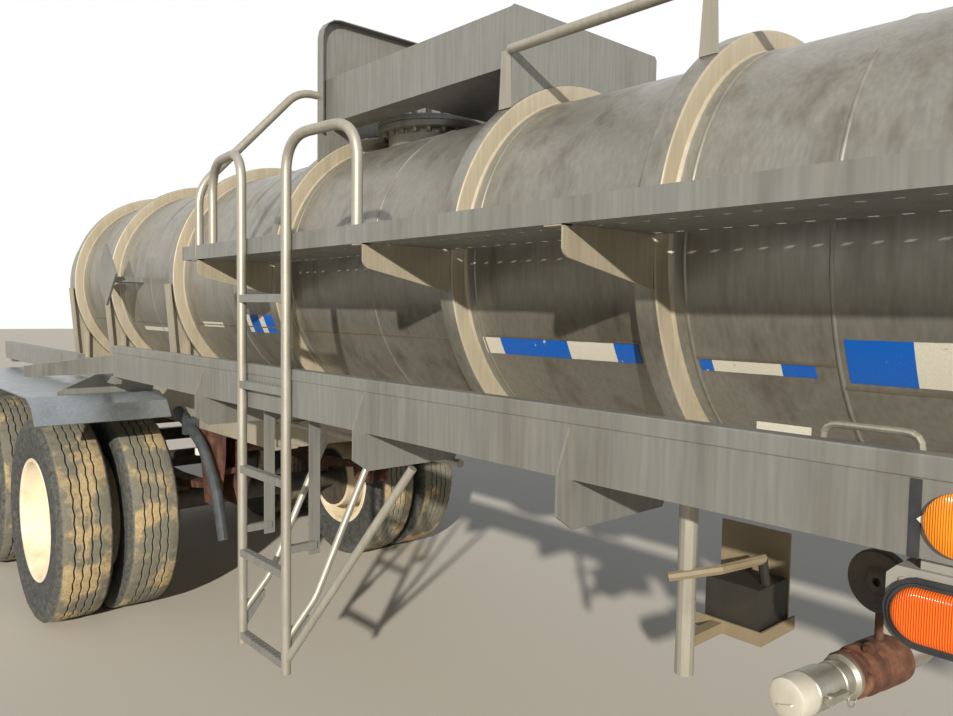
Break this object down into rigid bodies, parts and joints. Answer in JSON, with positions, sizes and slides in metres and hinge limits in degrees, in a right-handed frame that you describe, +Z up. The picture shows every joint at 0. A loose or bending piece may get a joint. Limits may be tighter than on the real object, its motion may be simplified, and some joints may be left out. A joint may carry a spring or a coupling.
{
  "type": "tank semi-trailer",
  "caption": "Ring-stiffened stainless tank semi-trailer on twin-tyred tandem axles, with landing legs, walkway, ladder, hose trays and a spill dam.",
  "frame": {"origin": "on the ground, under the middle of the trailer's length and width", "axes": "+X to the trailer's front, +Y to its left side, +Z up"},
  "size_m": [12.6, 2.72, 2.93],
  "materials": {
    "tank_shell": "satin",
    "rear_frame": "satin",
    "front_frame": "satin",
    "king_pin": "satin",
    "landing_legs": "satin",
    "leg_crank": "satin",
    "walkway": "satin",
    "ladder": "satin",
    "hose_tray_left": "satin",
    "hose_tray_right": "satin",
    "spill_dam": "satin",
    "manhole_cover": "satin",
    "crown_rail": "satin",
    "side_rail": "satin",
    "fender_left": "satin",
    "fender_right": "satin",
    "fender_arms_left": "satin",
    "fender_arms_right": "satin",
    "rear_axle": "satin",
    "fore_axle": "satin",
    "springs_left": "rough",
    "springs_right": "rough",
    "rear_bumper": "satin",
    "tail_lamp_bar": "satin",
    "mud_flap_left": "matte",
    "mud_flap_right": "matte",
    "lamp_box_left": "satin",
    "lamp_box_right": "satin",
    "discharge_pipe": "satin",
    "discharge_valve": "rough",
    "hose_coupler": "satin",
    "dust_cap": "satin",
    "placard_left": "satin",
    "placard_right": "satin",
    "hanger_fore": "rough",
    "hanger_middle": "rough",
    "hanger_rear": "rough",
    "tray_handle": "satin",
    "utility_shelf": "satin",
    "drain_hose": "matte",
    "wheel_rear_right": "satin",
    "tyre_rear_right_outer": "matte",
    "tyre_rear_right_inner": "matte",
    "wheel_rear_left": "satin",
    "tyre_rear_left_outer": "matte",
    "tyre_rear_left_inner": "matte",
    "wheel_fore_right": "satin",
    "tyre_fore_right_outer": "matte",
    "tyre_fore_right_inner": "matte",
    "wheel_fore_left": "satin",
    "tyre_fore_left_outer": "matte",
    "tyre_fore_left_inner": "matte"
  },
  "bodies": {
    "trailer": {"tank_shell": "tank_shell", "rear_frame": "rear_frame", "front_frame": "front_frame", "king_pin": "king_pin", "landing_legs": "landing_legs", "leg_crank": "leg_crank", "walkway": "walkway", "ladder": "ladder", "hose_tray_left": "hose_tray_left", "hose_tray_right": "hose_tray_right", "spill_dam": "spill_dam", "manhole_cover": "manhole_cover", "crown_rail": "crown_rail", "side_rail": "side_rail", "fender_left": "fender_left", "fender_right": "fender_right", "fender_arms_left": "fender_arms_left", "fender_arms_right": "fender_arms_right", "rear_axle": "rear_axle", "fore_axle": "fore_axle", "springs_left": "springs_left", "springs_right": "springs_right", "rear_bumper": "rear_bumper", "tail_lamp_bar": "tail_lamp_bar", "mud_flap_left": "mud_flap_left", "mud_flap_right": "mud_flap_right", "lamp_box_left": "lamp_box_left", "lamp_box_right": "lamp_box_right", "discharge_pipe": "discharge_pipe", "discharge_valve": "discharge_valve", "hose_coupler": "hose_coupler", "dust_cap": "dust_cap", "placard_left": "placard_left", "placard_right": "placard_right", "hanger_fore": "hanger_fore", "hanger_middle": "hanger_middle", "hanger_rear": "hanger_rear", "tray_handle": "tray_handle", "utility_shelf": "utility_shelf", "drain_hose": "drain_hose"},
    "twin_wheels_rear_right": {"wheel_rear_right": "wheel_rear_right", "tyre_rear_right_outer": "tyre_rear_right_outer", "tyre_rear_right_inner": "tyre_rear_right_inner"},
    "twin_wheels_rear_left": {"wheel_rear_left": "wheel_rear_left", "tyre_rear_left_outer": "tyre_rear_left_outer", "tyre_rear_left_inner": "tyre_rear_left_inner"},
    "twin_wheels_fore_right": {"wheel_fore_right": "wheel_fore_right", "tyre_fore_right_outer": "tyre_fore_right_outer", "tyre_fore_right_inner": "tyre_fore_right_inner"},
    "twin_wheels_fore_left": {"wheel_fore_left": "wheel_fore_left", "tyre_fore_left_outer": "tyre_fore_left_outer", "tyre_fore_left_inner": "tyre_fore_left_inner"}
  },
  "joints": [
    {"name": "wheel_rear_right_spin", "type": "hinge", "parent": "trailer", "child": "twin_wheels_rear_right", "pos_m": [-5.52, -0.935, 0.54], "axis": [0, 1, 0], "continuous": true},
    {"name": "wheel_rear_left_spin", "type": "hinge", "parent": "trailer", "child": "twin_wheels_rear_left", "pos_m": [-5.52, 0.935, 0.54], "axis": [0, 1, 0], "continuous": true},
    {"name": "wheel_fore_right_spin", "type": "hinge", "parent": "trailer", "child": "twin_wheels_fore_right", "pos_m": [-4.25, -0.935, 0.54], "axis": [0, 1, 0], "continuous": true},
    {"name": "wheel_fore_left_spin", "type": "hinge", "parent": "trailer", "child": "twin_wheels_fore_left", "pos_m": [-4.25, 0.935, 0.54], "axis": [0, 1, 0], "continuous": true}
  ]
}
